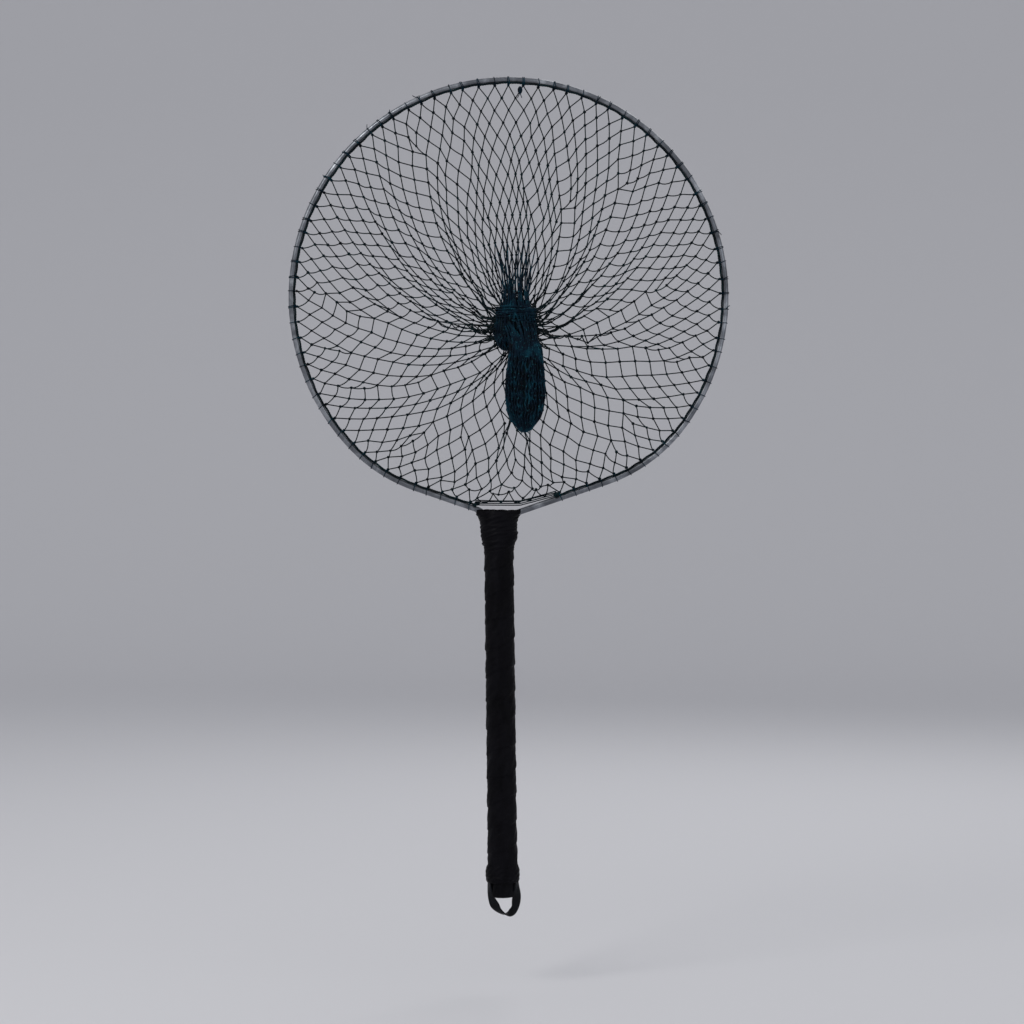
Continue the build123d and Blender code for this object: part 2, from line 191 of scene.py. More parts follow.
def tubes(soup, paths, radius, sides=5, ref=(0, 1, 0), closed=False):
    """Round tubes along paths of shape (tubes, points, 3). ref is kept square to the path."""
    paths = np.asarray(paths, float)
    if paths.ndim == 2:
        paths = paths[None]
    count, points, _ = paths.shape
    if closed:
        along = np.roll(paths, -1, 1) - np.roll(paths, 1, 1)
    else:
        along = np.gradient(paths, axis=1)
    along = unit(along)
    ref = np.broadcast_to(np.asarray(ref, float), paths.shape)
    ref = unit(ref - along * (ref * along).sum(-1, keepdims=True))
    side = np.cross(along, ref)
    turn = full_turn(sides)
    ring = ref[:, :, None] * np.cos(turn)[:, None] + side[:, :, None] * np.sin(turn)[:, None]
    radius = np.broadcast_to(np.asarray(radius, float), paths.shape[:2])
    verts = paths[:, :, None] + ring * radius[:, :, None, None]
    steps = np.linalg.norm(np.diff(paths, axis=1), axis=-1)
    lengths = np.concatenate([np.zeros((count, 1)), np.cumsum(steps, 1)], 1)
    uvs = np.empty((count, points, sides, 2))
    uvs[..., 0] = lengths[:, :, None]
    uvs[..., 1] = np.arange(sides) / sides
    quads = grid_quads(points, sides, closed)
    offsets = np.arange(count)[:, None, None, None] * points * sides
    soup.add(verts, quads[None] + offsets, uvs)


def knot_template():
    """Two small crossed turns of twine, the body of one netting knot."""
    soup = Soup()
    t = full_turn(7)
    for tilt, squash in ((0.5, 0.8), (-0.6, 1.0)):
        ring = xyz(np.cos(t), np.sin(t) * math.sin(tilt), np.sin(t) * math.cos(tilt) * squash)
        tubes(soup, ring * 0.95 * MM, 0.62 * MM, 5, (0.0, math.cos(tilt), -math.sin(tilt)), True)
    return np.concatenate(soup.verts), np.concatenate(soup.quads), np.concatenate(soup.uvs)


def knots(soup, places, across, out, size=1.0):
    """A netting knot at each place, turned so that its width lies across and its face points out."""
    verts, quads, uvs = knot_template()
    across = unit(across)
    out = unit(out - across * (out * across).sum(-1, keepdims=True))
    down = np.cross(across, out)
    size = np.broadcast_to(size, len(places))[:, None, None]
    turned = (
        verts[None, :, :1] * across[:, None]
        + verts[None, :, 1:2] * out[:, None]
        + verts[None, :, 2:] * down[:, None]
    )
    moved = places[:, None] + turned * size
    offsets = np.arange(len(places))[:, None, None] * len(verts)
    soup.add(moved, quads[None] + offsets, np.broadcast_to(uvs, (len(places), *uvs.shape)))


# ---- materials


class Shader:
    """A Principled material with short ways to add texture nodes."""

    def __init__(self, name, **values):
        self.material = bpy.data.materials.new(name)
        self.material.use_nodes = True
        self.tree = self.material.node_tree
        self.surface = self.tree.nodes["Principled BSDF"]
        for key, value in values.items():
            self.surface.inputs[key.replace("_", " ")].default_value = value
        self.coords = self.tree.nodes.new("ShaderNodeTexCoord")

    def node(self, kind, **inputs):
        made = self.tree.nodes.new(kind)
        for key, value in inputs.items():
            socket = made.inputs[key.replace("_", " ")]
            if isinstance(value, bpy.types.NodeSocket):
                self.tree.links.new(value, socket)
            else:
                socket.default_value = value
        return made

    def stretched(self, scale):
        """Coordinates stretched by three factors."""
        made = self.node("ShaderNodeMapping", Vector=self.coords.outputs["Object"], Scale=scale)
        return made.outputs["Vector"]

    def noise(self, scale, detail=4.0, rough=0.55, vector=None, distortion=0.0):
        vector = vector or self.coords.outputs["Object"]
        values = {"Scale": scale, "Detail": detail, "Roughness": rough, "Distortion": distortion}
        return self.node("ShaderNodeTexNoise", Vector=vector, **values).outputs["Fac"]

    def ramp(self, factor, *stops):
        """A colour ramp of (place, colour) stops."""
        made = self.node("ShaderNodeValToRGB", Fac=factor)
        elements = made.color_ramp.elements
        while len(elements) < len(stops):
            elements.new(0.5)
        for element, (place, colour) in zip(elements, stops):
            element.position = place
            element.color = (*colour, 1)
        return made.outputs["Color"]

    def grey(self, factor, low, high, start=0.3, end=0.7):
        """A factor spread between two values."""
        ends = {"From_Min": start, "From_Max": end, "To_Min": low, "To_Max": high}
        return self.node("ShaderNodeMapRange", Value=factor, **ends).outputs["Result"]

    def mix(self, factor, first, second):
        made = self.tree.nodes.new("ShaderNodeMix")
        made.data_type = "RGBA"
        for socket, value in ((made.inputs[0], factor), (made.inputs[6], first), (made.inputs[7], second)):
            if isinstance(value, bpy.types.NodeSocket):
                self.tree.links.new(value, socket)
            else:
                socket.default_value = value if isinstance(value, float) else (*value, 1)
        return made.outputs[2]

    def bump(self, height, strength, distance, normal=None):
        made = self.node("ShaderNodeBump", Height=height, Strength=strength, Distance=distance)
        if normal is not None:
            self.tree.links.new(normal, made.inputs["Normal"])
        return made.outputs["Normal"]

    def link(self, output, socket):
        self.tree.links.new(output, self.surface.inputs[socket])

    def lay(self):
        """The lay of twisted strands, as bands that slant round the length."""
        scaled = self.node("ShaderNodeMapping", Vector=self.coords.outputs["UV"], Scale=(700, 2, 1))
        return self.bands("DIAGONAL", scaled.outputs["Vector"], 0.5, 1.2)

    def bands(self, direction, vector, scale, distortion):
        made = self.node("ShaderNodeTexWave", Vector=vector, Scale=scale, Distortion=distortion)
        made.bands_direction = direction
        return made.outputs["Fac"]


def twine_material(name, dark, middle, light, glint):
    """Laid twine: slanting strands, fuzz, colour that drifts, and a painted highlight (the glint colour) on
    the strands' crests in scattered patches.
    """
    s = Shader(name, Sheen_Weight=0.012, Sheen_Roughness=0.45, Specular_IOR_Level=0.08)
    lay = s.lay()
    patch = s.noise(90, 3)
    colour = s.ramp(patch, (0.32, dark), (0.52, middle), (0.78, light))
    glint_patches = s.grey(s.noise(420, 5, 0.65), 0.0, 1.0, 0.56, 0.78)
    glint_on_crests = s.node("ShaderNodeMath")
    glint_on_crests.operation = "MULTIPLY"
    s.tree.links.new(glint_patches, glint_on_crests.inputs[0])
    s.tree.links.new(lay, glint_on_crests.inputs[1])
    # painted highlight: the glint colour laid over the base colour on the lay's crests, in scattered noise
    # patches
    s.link(s.mix(glint_on_crests.outputs[0], colour, glint), "Base Color")
    s.link(s.grey(s.noise(700, 3), 0.5, 0.85), "Roughness")
    normal = s.bump(lay, 0.6, 0.0003)
    s.link(s.bump(s.noise(2600, 3), 0.35, 0.0002, normal), "Normal")
    return s.material


def rod_material():
    """Galvanised rod: dull zinc bloom, rubbed bright patches and small dark specks."""
    s = Shader("galvanised_rod", Metallic=0.9)
    bloom = s.noise(45, 5, 0.6, distortion=0.6)
    dull, zinc, bright = (0.07, 0.075, 0.085), (0.15, 0.16, 0.18), (0.36, 0.38, 0.41)
    colour = s.ramp(bloom, (0.3, dull), (0.5, zinc), (0.72, bright))
    specks = s.grey(s.noise(900, 4, 0.7), 0.0, 1.0, 0.62, 0.74)
    s.link(s.mix(specks, colour, (0.12, 0.12, 0.13)), "Base Color")
    s.link(s.grey(s.noise(60, 6, 0.65), 0.2, 0.52), "Roughness")
    fine = s.bump(s.noise(1500, 4), 0.25, 0.0002)
    s.link(s.bump(s.noise(160, 4, 0.6), 0.35, 0.0004, fine), "Normal")
    return s.material


def tape_material(name, base, dust, rough=(0.38, 0.72), weave=True):
    """Old vinyl and cloth tape: near black, finger-rubbed, with dust lying in the wrinkles."""
    s = Shader(name, Specular_IOR_Level=0.05, Sheen_Weight=0.006, Sheen_Roughness=0.5)
    wipe = s.noise(55, 5, 0.6, s.stretched((1, 1, 0.35)), 0.8)
    lighter = tuple(c * 2.2 + 0.0012 for c in base)
    colour = s.ramp(wipe, (0.35, base), (0.7, lighter))
    grit = s.grey(s.noise(650, 5, 0.7), 0.0, 0.55, 0.56, 0.8)
    s.link(s.mix(grit, colour, dust), "Base Color")
    s.link(s.grey(s.noise(80, 5, 0.6), *rough), "Roughness")
    creases = s.noise(240, 5, 0.6, s.stretched((1, 1, 1.8)), 1.5)
    normal = s.bump(creases, 0.45, 0.0006)
    if weave:
        threads = s.node("ShaderNodeTexVoronoi", Vector=s.stretched((1, 1, 1)), Scale=1300)
        normal = s.bump(threads.outputs["Distance"], 0.22, 0.0002, normal)
    s.link(s.bump(s.noise(1800, 3), 0.2, 0.00015, normal), "Normal")
    return s.material


def strap_material():
    """Soft strap with fine ribs along it and a blue-black sheen."""
    s = Shader("strap_band", Specular_IOR_Level=0.12, Sheen_Weight=0.02, Sheen_Roughness=0.35)
    patch = s.noise(120, 4)
    colour = s.ramp(patch, (0.35, (0.0012, 0.0014, 0.0024)), (0.7, (0.0035, 0.0045, 0.0075)))
    scuffs = s.grey(s.noise(500, 5, 0.7), 0.0, 0.6, 0.6, 0.8)
    s.link(s.mix(scuffs, colour, (0.02, 0.022, 0.027)), "Base Color")
    s.link(s.grey(s.noise(300, 4), 0.3, 0.6), "Roughness")
    normal = s.bump(s.bands("Y", s.coords.outputs["UV"], 8.0, 0.4), 0.3, 0.0003)
    s.link(s.bump(s.noise(1400, 4), 0.3, 0.0002, normal), "Normal")
    return s.material


def wood_material():
    """Bare turned wood of the hidden core."""
    s = Shader("core_wood", Roughness=0.7)
    grain = s.noise(60, 6, 0.6, s.stretched((1, 1, 0.06)), 1.2)
    s.link(s.ramp(grain, (0.35, (0.24, 0.14, 0.07)), (0.65, (0.5, 0.34, 0.19))), "Base Color")
    s.link(s.bump(grain, 0.3, 0.0003), "Normal")
    return s.material


def steel_material():
    """Dull steel of the hidden wire and tacks."""
    s = Shader("dull_steel", Metallic=1.0)
    s.link(s.ramp(s.noise(400, 4), (0.3, (0.25, 0.24, 0.23)), (0.7, (0.5, 0.5, 0.5))), "Base Color")
    s.link(s.grey(s.noise(300, 4), 0.35, 0.6), "Roughness")
    return s.material


# The last colour of each twine is a painted highlight for the strands' crests.
DARK_TWINE = twine_material(
    "dark_twine", (0.0008, 0.003, 0.0045), (0.0015, 0.007, 0.010), (0.003, 0.018, 0.022), (0.012, 0.06, 0.065)
)
TEAL_TWINE = twine_material(
    "teal_twine", (0.0003, 0.002, 0.005), (0.0006, 0.008, 0.018), (0.002, 0.042, 0.066), (0.03, 0.21, 0.26)
)
# Packed twine inside the knot and tail: darker than the strands, a painted shade for the gaps between them;
# its last colour is a painted highlight.
GAP_SHADE_TWINE = twine_material(
    "packed_twine_gap_shade", (0.001, 0.004, 0.006), (0.002, 0.009, 0.012), (0.003, 0.014, 0.018), (0.006, 0.03, 0.035)
)
ROD = rod_material()
TAPE = tape_material("wound_tape", (0.0011, 0.001, 0.0018), (0.008, 0.008, 0.010))
CAP = tape_material("cap_rubber", (0.001, 0.001, 0.0017), (0.009, 0.009, 0.012), (0.35, 0.6), weave=False)
STRAP = strap_material()
WOOD = wood_material()
STEEL = steel_material()


# ---- netting


def hoop_reach(angle, inset):
    """How far from the hoop's middle a line lies that runs this far inside the rod: round, bend or arm."""
    a = np.radians(np.asarray(angle, float))
    ray = np.stack([np.cos(a), np.sin(a)], -1)
    reach = HOOP_R - inset + np.zeros_like(a)
    for side in (-1, 1):
        out = np.array([side * math.sin(ARM_SLOPE), -math.cos(ARM_SLOPE)])
        up = np.array([side * math.cos(ARM_SLOPE), math.sin(ARM_SLOPE)])
        to_bend = ARM_REACH[side] - ARM_BEND_R
        bend_up = math.sqrt((HOOP_R - ARM_BEND_R) ** 2 - to_bend**2)
        bend = out * to_bend + up * bend_up
        low = (ray[:, 0] * side > 0) & (np.arctan2(ray @ up, ray @ out) < math.atan2(bend_up, to_bend))
        on_arm = (ARM_REACH[side] - inset) / np.where(low, ray @ out, 1.0)
        along = ray @ bend
        inside = np.where(low, along**2 - bend @ bend + (ARM_BEND_R - inset) ** 2, 0.0)
        lower = np.where(on_arm * (ray @ up) <= bend_up, on_arm, along + np.sqrt(inside))
        reach = np.where(low, lower, reach)
    return reach


def hoop_point(angle, radius, y):
    """A point beside the hoop, angle in degrees from +X."""
    a = np.radians(angle)
    reach = hoop_reach(angle, HOOP_R - radius)
    return xyz(HOOP_MIDDLE[0] + reach * np.cos(a), y, HOOP_MIDDLE[2] + reach * np.sin(a))


def hoop_along(angle):
    """The way along the rod at each angle, towards greater angles."""
    return unit(hoop_point(angle + 0.05, HOOP_R, 0.0) - hoop_point(angle - 0.05, HOOP_R, 0.0))


def lash_angles():
    """Where each lashing sits round the hoop, a little unevenly as tied by hand."""
    even = np.linspace(LASH_START, LASH_END, LASHINGS)
    return even + RNG.normal(0, 0.28, LASHINGS)


LASH_ANGLES = lash_angles()


def throat_point(share, rise=0.0):
    """A point on the strands across the throat, from the right end down over the rod to the left."""
    right = hoop_point(np.array([-76.5]), LINE_HOOP_R, LINE_Y)[0]
    left = hoop_point(np.array([260.8]), LINE_HOOP_R, LINE_Y)[0]
    share = np.asarray(share, float)
    places = right + (left - right) * share[..., None]
    places[..., 2] += rise - THROAT_DIP * np.minimum(share / THROAT_LOW, (1 - share) / (1 - THROAT_LOW))
    return places


def net_graph():
    """Rows of knots from the rim inwards, each tied to two or three knots of the row outside it."""
    throat = np.linspace(LASH_END + THROAT_END, LASH_START + 360 - THROAT_END, THROAT_NODES)
    angles = [np.concatenate([LASH_ANGLES, throat])]
    starts, links, count = [0], [], LASHINGS + THROAT_NODES
    for row in range(1, ROWS + 1):
        outer = angles[-1]
        n = len(outer)
        wrapped = np.concatenate([outer, outer[:3] + 360])
        joins = set()
        wanted = DECREASES.get(row, 0)
        while len(joins) < wanted:
            place = int(RNG.integers(0, n - 3))
            turn = outer[place] % 360
            above, lower = (low < turn < high for low, high in (NO_DECREASES, LOWER_HALF))
            if above or lower != (RNG.random() < LOWER_SHARE):
                continue
            if all(abs(place - other) > n / (wanted * 4) for other in joins):
                joins.add(place)
        here, at = [], 0
        while at < n:
            parents = [at, at + 1, at + 2] if at in joins else [at, at + 1]
            for parent in parents:
                links.append((starts[-1] + parent % n, count + len(here)))
            here.append(wrapped[parents].mean())
            at += len(parents) - 1
        starts.append(count)
        angles.append(np.array(here))
        count += len(here)
    return angles, starts, np.array(links)


def rim_places(angles):
    """Where the outermost knots hang: on the rim line, or on the strand across the throat."""
    on_hoop = hoop_point(angles[:LASHINGS], LINE_HOOP_R - LINE_R - 0.9 * MM, -1.6 * MM)
    across = throat_point(np.linspace(0.86, 0.14, THROAT_NODES), 2.2 * MM)
    return np.concatenate([on_hoop, across])


def ring_place(angle):
    """Where netting at this angle goes in behind the gather knot."""
    a = np.radians(angle)
    return KNOT_MIDDLE + xyz(RING_SIZE[0] * np.cos(a), 13 * MM, RING_SIZE[1] * np.sin(a))


def relax(places, links, pinned, longest, steps):
    """Lets the knots settle: twine never longer than it is, hardly bunched, under a light load."""
    ends_a, ends_b = links[:, 0], links[:, 1]
    count = np.bincount(ends_a, minlength=len(places)) + np.bincount(ends_b, minlength=len(places))
    ease = 1.25 / np.maximum(count, 1)
    shortest = longest * 0.86
    free = ~pinned
    for _ in range(steps):
        places[free, 2] -= 0.012 * MM
        places[free, 1] -= 0.004 * MM
        gap = places[ends_b] - places[ends_a]
        length = np.linalg.norm(gap, axis=1)
        wrong = length - np.clip(length, shortest, longest)
        push = gap * (wrong / np.maximum(length, 1e-9))[:, None] * 0.5
        move = np.zeros_like(places)
        for axis in range(3):
            move[:, axis] += np.bincount(ends_a, push[:, axis], len(places))
            move[:, axis] -= np.bincount(ends_b, push[:, axis], len(places))
        share = np.where(free, ease * 2, 0)[:, None]
        places += move * share
        places[:, 1] = np.clip(places[:, 1], -26 * MM, 1.5 * MM)
    return places


def settle_net():
    """Places of all knots, and the bars that show between them."""
    angles, starts, links = net_graph()
    rim = rim_places(angles[0])
    total = starts[-1] + len(angles[-1])
    places = np.zeros((total, 3))
    pinned = np.zeros(total, bool)
    hidden = np.zeros(total, bool)
    outer = angles[0]
    order = np.argsort(outer)
    radius = np.linspace(0.205, 0.03, ROWS + 1)  # about how far out each row lies
    came = np.zeros(len(outer))
    for row, angle in enumerate(angles):
        index = starts[row] + np.arange(len(angle))
        lean = np.interp(angle % 360, PLEAT_ANGLES, PLEAT_TURN) * min(row / 10, 1)
        rim_here = np.stack(
            [np.interp(angle + lean, outer[order], rim[order, axis], period=360) for axis in range(3)], -1
        )
        ring_here = ring_place(angle + lean)
        way = np.linalg.norm(ring_here - rim_here, axis=1)
        if row:
            half_gap = np.radians(np.gradient(angle)) * radius[row] / 2
            step = np.sqrt(np.maximum(BAR**2 - half_gap**2, LEAST_STEP**2))
            came = np.interp(angle, angles[row - 1], came) + step
        reach = came / way
        pinned[index] = reach >= 1.0
        hidden[index] = reach >= 1.0
        reach = np.minimum(reach, 1.0)[:, None]
        places[index] = rim_here * (1 - reach) + ring_here * reach
    places[: len(rim)] = rim
    pinned[: len(rim)] = True
    bars = BAR * BAR_SLACK * (1 + RNG.normal(0, 0.045, len(links)))
    pleat = np.abs(places[links[:, 0], 0] - KNOT_MIDDLE[0] + 6 * MM) < PLEAT_HALF
    pleat &= places[links[:, 0], 2] < KNOT_MIDDLE[2] - PLEAT_TOP
    bars = np.where(pleat, bars * 1.1, bars)
    places[~pinned] += RNG.normal(0, 1.0 * MM, (int((~pinned).sum()), 3))
    places = relax(places, links, pinned, bars, 900)
    shown = ~(hidden[links[:, 0]] & hidden[links[:, 1]])
    return places, links[shown], bars[shown], hidden


def bar_paths(places, links, bars):
    """Each bar as a short path that hangs in a slight curve where it is slack."""
    a, b = places[links[:, 0]], places[links[:, 1]]
    gap = b - a
    length = np.linalg.norm(gap, axis=1)
    slack = np.maximum(bars - length, 0.0)
    sag = np.sqrt(0.375 * slack * length)[:, None] * 0.55
    droop = unit(xyz(RNG.normal(0, 0.35, len(a)), RNG.normal(-0.3, 0.4, len(a)), -1.0))
    shares = np.linspace(0, 1, 5)
    points = [a + gap * t + droop * sag * (4 * t * (1 - t)) for t in shares]
    return np.stack(points, 1)


NET_PLACES, NET_LINKS, NET_BARS, NET_HIDDEN = settle_net()


def quarter_of(places):
    """Which quarter round the hoop's middle each place lies in."""
    turn = np.arctan2(places[:, 2] - HOOP_MIDDLE[2], places[:, 0] - HOOP_MIDDLE[0])
    return ((turn + math.pi) / (TAU / 4)).astype(int).clip(0, 3)


def build_netting():
    """The netting in four quarters, each of bars and knots."""
    paths = bar_paths(NET_PLACES, NET_LINKS, NET_BARS)
    spots = NET_PLACES[~NET_HIDDEN]
    made = []
    for q in range(4):
        soup = Soup()
        tubes(soup, paths[quarter_of(paths.mean(1)) == q], TWINE_R, 5, (0.13, 0.98, 0.1))
        mine = spots[quarter_of(spots) == q]
        inward = unit(KNOT_MIDDLE - mine)
        across = np.cross(inward, [0.0, 1.0, 0.0]) + RNG.normal(0, 0.25, mine.shape)
        out = np.broadcast_to([0.0, -1.0, 0.0], mine.shape) + RNG.normal(0, 0.25, mine.shape)
        knots(soup, mine, across, out, RNG.uniform(0.85, 1.15, len(mine)))
        made.append(soup.object(f"netting_quarter_{q + 1}", DARK_TWINE))
    return made


def build_rim_line():
    """Three strands laid into one cord along the rod."""
    angle = np.linspace(-76.8, 261.2, 1500)
    t = np.radians(angle)
    wander = 0.25 * MM * np.sin(t * 37) + 0.2 * MM * np.sin(t * 91 + 1)
    middle = hoop_point(angle, LINE_HOOP_R + wander, LINE_Y)
    back = np.array([0.0, 1.0, 0.0])
    outward = np.cross(back, hoop_along(angle))
    lay = t * LINE_HOOP_R / (7.5 * MM) * TAU
    soup = Soup()
    for strand in range(3):
        phase = lay + TAU * strand / 3
        offset = outward * np.cos(phase)[:, None] + back * np.sin(phase)[:, None]
        tubes(soup, middle + offset * 0.58 * MM, 0.58 * MM, 5, outward[None])
    return soup.object("rim_line_cord", DARK_TWINE)


def build_throat():
    """Strands drawn tight across the throat, and the hitches at their two ends."""
    soup = Soup()
    share = np.linspace(0.0, 1.0, 40)
    for rise, sag, y in ((0.0, 0.5, 0.0), (1.6, 0.3, -0.8), (3.0, -0.2, 0.4), (4.6, 0.8, -0.3)):
        points = throat_point(share, rise * MM)
        points[:, 2] -= sag * MM * np.sin(share * math.pi)
        points[:, 1] += y * MM + 0.3 * MM * np.sin(share * 9)
        tubes(soup, points, 0.62 * MM, 6, (0, 1, 0))
    for side in (0.0, 0.97):
        middle = throat_point(np.array([side]), 1.5 * MM)[0]
        for turn in range(4):
            t = np.linspace(0, TAU, 17)[:-1]
            loop = xyz(np.cos(t) * 1.2, np.sin(t) * 1.6 - 0.5, np.sin(t + 0.6) * 1.8) * MM
            loop[:, 0] += (turn - 1.5) * 0.8 * MM
            tubes(soup, middle + loop, 0.62 * MM, 5, (1, 0, 0), True)
    return soup.object("throat_strand_run", DARK_TWINE)


def belt(extra, points=26):
    """Closed path round the rod and the rim line in the plane (outward, back), origin at the rod."""
    line = np.array([LINE_HOOP_R - HOOP_R, LINE_Y])
    circle = full_turn(90)
    ring = np.stack([np.cos(circle), np.sin(circle)], -1)
    cloud = np.concatenate([ring * (ROD_R + extra), line + ring * (LINE_R + extra)])
    middle = line * 0.45
    path = []
    for a in full_turn(points):
        ray = np.array([math.cos(a), math.sin(a)])
        normal_angles = a + np.linspace(-1.3, 1.3, 131)
        normals = np.stack([np.cos(normal_angles), np.sin(normal_angles)], -1)
        support = ((cloud - middle) @ normals.T).max(0)
        path.append(middle + ray * (support / (normals @ ray)).min())
    return np.array(path)


def build_lashings():
    """Twine hitched round the rod and the rim line at each mesh, some with a cut end standing up."""
    soup = Soup()
    path = belt(0.46 * MM)
    n = len(path)
    rods, ways = hoop_point(LASH_ANGLES, HOOP_R, 0.0), hoop_along(LASH_ANGLES)
    for i, (angle, rod, along) in enumerate(zip(LASH_ANGLES, rods, ways)):
        outward = np.cross([0.0, 1.0, 0.0], along)
        upper = -5 < angle < 185
        turns = 2 if i % 3 and upper else 1
        for turn in range(turns):
            skew = RNG.normal(0.35, 0.35) * MM
            shift = (turn - (turns - 1) / 2) * 1.35 * MM
            t = full_turn(n)
            slide = along * (shift + skew * np.sin(t + 0.7))[:, None]
            swell = 1 + 0.02 * RNG.normal(size=1) * np.sin(3 * t)
            loop = rod + outward * (path[:, :1] * swell[:, None]) + np.array([0, 1.0, 0]) * path[:, 1:]
            tubes(soup, loop + slide, 0.42 * MM, 5, along, True)
        hitch = rod + outward * (path[:, 0].min() - 0.2 * MM) + np.array([0, -1.8 * MM, 0])
        knots(soup, hitch[None], along[None], np.array([[0.0, -1.0, 0.0]]), 0.9)
        if upper and (RNG.random() < 0.12 or (100 < angle < 150 and i % 2)):
            length = RNG.uniform(2.0, 4.5) * MM
            lean = along * RNG.normal(0, 0.9) + outward + np.array([0, RNG.normal(-0.3, 0.3), 0])
            t = np.linspace(0, 1, 6)[:, None]
            start = rod + outward * (ROD_R * 0.3) + np.array([0, -ROD_R - 0.6 * MM, 0])
            end = start + lean * length * t + along * (0.9 * MM * np.sin(3 * t))
            tubes(soup, end, np.linspace(0.5, 0.35, 6) * MM, 5, along)
    return soup.object("rim_lashing_turns", TEAL_TWINE)


def lump(soup, middle, size, turns, radius, seed):
    """A tied-off lump: turns of twine crossing each other round a small middle."""
    rng = np.random.default_rng(seed)
    t = full_turn(18)
    for _ in range(turns):
        axis = unit(rng.normal(size=3))
        first = unit(np.cross(axis, rng.normal(size=3)))
        second = np.cross(axis, first)
        ring = first * np.cos(t)[:, None] + second * np.sin(t)[:, None]
        tubes(soup, np.array(middle) + ring * np.array(size), radius, 5, axis, True)


def box_middle(node):
    low, high = (np.array(corner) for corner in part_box(node))
    return (low + high) / 2, (high - low) / 2


def build_small_knots():
    """The tied-off end at the top of the hoop and those at the throat."""
    middle, half = box_middle("top_knot")
    top = Soup()
    lump(top, middle, half * 0.72, 12, 0.62 * MM, 3)
    for lean in (-0.5, 0.35):
        t = np.linspace(0, 1, 7)[:, None]
        start = middle - np.array([0, 0, half[2] * 0.6])
        tubes(top, start + np.array([lean, -0.2, -1.0]) * t * 5 * MM, 0.45 * MM, 5, (0, 1, 0))
    throat, half = box_middle("throat_knots")
    sides = Soup()
    for side in (-1, 1):
        place = throat + np.array([side * (half[0] - 3 * MM), 0, side * (half[2] - 2.6 * MM)])
        lump(sides, place, (1.9 * MM, 1.5 * MM, 1.6 * MM), 7, 0.42 * MM, 11 + side)
    return top.object("top_tie", TEAL_TWINE), sides.object("throat_ties", DARK_TWINE)


# ---- knot and tail


def ball_point(lon, lat, lift=0.0):
    """A point on the gather knot, lon from the front round to +X, lat up."""
    size = np.array([20.5, 12.6, 25.5]) * MM + lift
    lobes = 1 + 0.05 * np.sin(3 * lon + 1.0) * np.cos(lat) + 0.04 * np.sin(4 * lat + 2 * lon)
    return KNOT_MIDDLE + xyz(
        size[0] * np.sin(lon) * np.cos(lat) * lobes,
        -size[1] * np.cos(lon) * np.cos(lat) * lobes,
        size[2] * np.sin(lat) * lobes,
    )


def build_knot_core():
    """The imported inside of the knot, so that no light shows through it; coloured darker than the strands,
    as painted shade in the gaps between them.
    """
    lat = np.linspace(-math.pi / 2 + 1e-3, math.pi / 2 - 1e-3, 26)[:, None]
    lon = full_turn(40)[None]
    swell = 1 + 0.04 * np.sin(5 * lon + 3 * lat) * np.cos(lat)
    ball = xyz(np.sin(lon) * np.cos(lat) * swell, -np.cos(lon) * np.cos(lat) * swell, np.sin(lat))
    verts = KNOT_MIDDLE + ball * (np.array([19.0, 11.5, 24.0]) * MM)
    return sheet("gather_knot_packing", verts, GAP_SHADE_TWINE, lat * 0.02, lon / TAU)


def build_knot():
    """The bag knotted on itself: strands run down over the knot in bunches, with a lobe low on the left."""
    soup = Soup()
    t = np.linspace(0, 1, 34)
    for layer, count in ((-0.3 * MM, 58), (0.8 * MM, 36)):
        for i in range(count):
            lon = TAU * (i + 0.5 * RNG.random()) / count
            swirl = 0.55 * math.sin(2 * lon + 0.7)
            wave = 0.05 * np.sin(TAU * (t * RNG.uniform(2.2, 3.4) + RNG.random()))
            lat = math.pi * (0.47 - 0.94 * t)
            path = ball_point(lon + swirl * (t - 0.4) + wave, lat, layer)
            tubes(soup, path, 0.66 * MM, 5, unit(path - KNOT_MIDDLE)[None])
    for i in range(120):
        lon, lat = RNG.uniform(-1.6, 1.6), RNG.uniform(-1.2, 0.9)
        place = ball_point(np.array([lon]), np.array([lat]), 1.1 * MM)
        knots(soup, place, RNG.normal(size=(1, 3)), place - KNOT_MIDDLE, RNG.uniform(0.8, 1.1))
    lobe = KNOT_MIDDLE + np.array([-9.5, -2.5, -14.0]) * MM
    size = np.array([9.5, 10.0, 10.5]) * MM
    for i in range(30):
        tilt = math.pi * i / 30
        axis = np.array([math.cos(tilt), math.sin(tilt), 0.3 + 0.3 * RNG.normal()])
        first = unit(np.cross(axis, [0.0, 0.0, 1.0]))
        second = unit(np.cross(axis, first))
        a = full_turn(24)
        ring = first * np.cos(a)[:, None] + second * np.sin(a)[:, None]
        tubes(soup, lobe + ring * size * RNG.uniform(0.94, 1.03), 0.66 * MM, 5, unit(axis), True)
    return soup.object("gather_knot_strands", TEAL_TWINE)


# Netting gathered at the knot, in metres from its middle: a sheaf above it, and strands at its sides
SHEAF_LOW, SHEAF_DENSE, SHEAF_HIGH = 0.024, 0.05, 0.085
SHEAF_WIDEN, SHEAF_LEAST = 0.3, 0.002  # its half width for each metre up, and at the middle
SIDE_NEAR, SIDE_FAR, SIDE_LOW = 0.018, 0.042, -0.036


